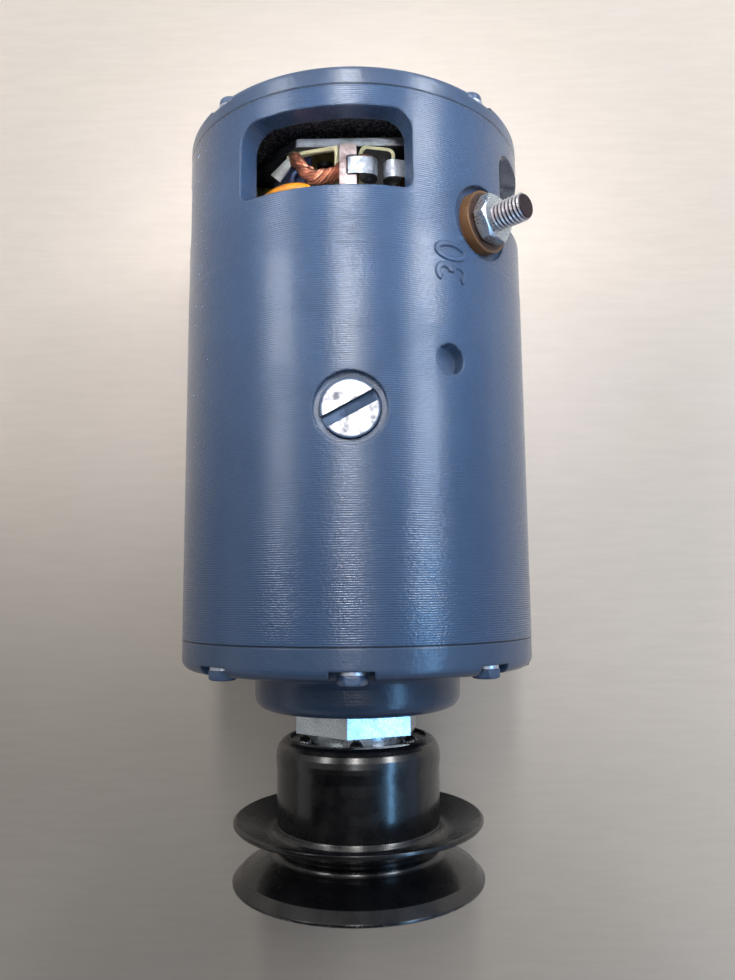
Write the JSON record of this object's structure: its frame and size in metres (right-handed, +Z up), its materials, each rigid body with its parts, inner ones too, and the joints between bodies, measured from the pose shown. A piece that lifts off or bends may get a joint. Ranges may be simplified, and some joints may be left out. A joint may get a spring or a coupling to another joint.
{
  "type": "starter generator",
  "caption": "Round dynamo and starter motor in one painted housing with brush windows, an insulated terminal and a V-belt pulley on a hexagon hub.",
  "frame": {"origin": "on the shaft axis, at the middle of the pole housing's length", "axes": "+Y along the shaft towards the commutator end, -Y towards the pulley, +Z up through the middle of a pole screw and beside the first brush window, +X to the side of the terminal"},
  "size_m": [0.112, 0.2479, 0.112],
  "materials": {
    "housing_paint": "satin blue-grey paint over fine turning marks",
    "shield_paint": "satin blue-grey paint over cast grain",
    "bolt_paint": "painted over, worn on the corners",
    "spring_steel": "blued and bare spring steel",
    "bare_steel": "turned or stamped, bare",
    "zinc_steel": "zinc plated, slightly yellow",
    "yellow_zinc": "yellow passivated, stained",
    "pole_iron": "bare iron with a thin oxide",
    "core_steel": "varnished laminations",
    "coil_tape": "varnished copper wire bound with tape",
    "copper": "copper, drawn or braided, dulled",
    "yellow_sleeve": "varnished sleeving",
    "insulation": "tan laminated board",
    "dark_moulding": "moulded, dark brown",
    "dark_steel": "blackened",
    "carbon": "pressed carbon",
    "felt": "greasy felt",
    "bearing_steel": "ground and polished",
    "cage_brass": "stamped",
    "pulley_black": "gloss black, chipped at the rim"
  },
  "bodies": {
    "housing": {"pole_housing": "housing_paint", "drive_end_shield": "shield_paint", "commutator_end_shield": "shield_paint", "drive_end_bolts": "bolt_paint", "commutator_end_bolts": "bolt_paint", "spring_washers": "spring_steel", "pole_screws": "bare_steel", "pole_shoes": "pole_iron", "shunt_coils": "coil_tape", "series_coils": "copper", "field_lead": "yellow_sleeve", "terminal_stud": "zinc_steel", "terminal_nut": "zinc_steel", "terminal_insulators": "insulation", "field_terminal_studs": "zinc_steel", "field_terminal_nuts": "zinc_steel", "field_terminal_insulators": "insulation", "brush_plate": "zinc_steel", "brush_plate_screws": "zinc_steel", "brush_boxes": "yellow_zinc", "lead_boxes": "yellow_zinc", "lead_rivets": "dark_steel", "spring_brackets": "zinc_steel", "lead_tabs": "zinc_steel", "lead_screws": "dark_steel", "pigtails": "copper", "bearing_retainer": "bare_steel", "retainer_screws": "dark_steel", "felt_seal": "felt", "drive_bearing_outer": "bearing_steel", "commutator_bearing_outer": "bearing_steel", "bearing_cap": "shield_paint"},
    "rotor": {"armature_shaft": "bare_steel", "armature_core": "core_steel", "armature_winding": "coil_tape", "commutator_bars": "copper", "commutator_sleeve": "dark_moulding", "drive_bearing_inner": "bearing_steel", "commutator_bearing_inner": "bearing_steel", "pulley_hub": "zinc_steel", "shaft_key": "dark_steel", "pulley_backing_ring": "pulley_black", "pulley_drum": "pulley_black", "pulley_inner_flange": "pulley_black", "pulley_outer_flange": "pulley_black", "pulley_rivets": "pulley_black", "pulley_spring_washer": "spring_steel", "pulley_nut": "zinc_steel"},
    "drive_cage": {"drive_bearing_cage": "cage_brass", "drive_bearing_balls": "bearing_steel"},
    "commutator_cage": {"commutator_bearing_cage": "cage_brass", "commutator_bearing_balls": "bearing_steel"},
    "brush_1": {"brush_1": "carbon", "brush_springs_1": "spring_steel"},
    "brush_2": {"brush_2": "carbon", "brush_springs_2": "spring_steel"},
    "brush_3": {"brush_3": "carbon", "brush_springs_3": "spring_steel"},
    "brush_4": {"brush_4": "carbon", "brush_springs_4": "spring_steel"}
  },
  "joints": [
    {"name": "rotor_spin", "type": "hinge", "parent": "housing", "child": "rotor", "pos_m": [0, 0, 0], "axis": [0, 1, 0], "continuous": true},
    {"name": "drive_cage_spin", "type": "hinge", "parent": "housing", "child": "drive_cage", "pos_m": [0, -0.0898, 0], "axis": [0, 1, 0], "continuous": true},
    {"name": "commutator_cage_spin", "type": "hinge", "parent": "housing", "child": "commutator_cage", "pos_m": [0, 0.0855, 0], "axis": [0, 1, 0], "continuous": true},
    {"name": "brush_1_slide", "type": "slide", "parent": "housing", "child": "brush_1", "axis": [0.23, 0, 0.9732], "range_m": [0, 0.004], "stiffness_N_per_m": 500, "springref_m": -0.012, "deforming": ["brush_springs_1", "pigtails"]},
    {"name": "brush_2_slide", "type": "slide", "parent": "housing", "child": "brush_2", "axis": [0.9732, 0, -0.23], "range_m": [0, 0.004], "stiffness_N_per_m": 500, "springref_m": -0.012, "deforming": ["brush_springs_2", "pigtails"]},
    {"name": "brush_3_slide", "type": "slide", "parent": "housing", "child": "brush_3", "axis": [-0.23, 0, -0.9732], "range_m": [0, 0.004], "stiffness_N_per_m": 500, "springref_m": -0.012, "deforming": ["brush_springs_3", "pigtails"]},
    {"name": "brush_4_slide", "type": "slide", "parent": "housing", "child": "brush_4", "axis": [-0.9732, 0, 0.23], "range_m": [0, 0.004], "stiffness_N_per_m": 500, "springref_m": -0.012, "deforming": ["brush_springs_4", "pigtails"]}
  ],
  "couplings": [
    {"joint": "drive_cage_spin", "follows": "rotor_spin", "ratio": 0.3818},
    {"joint": "commutator_cage_spin", "follows": "rotor_spin", "ratio": 0.3812}
  ]
}
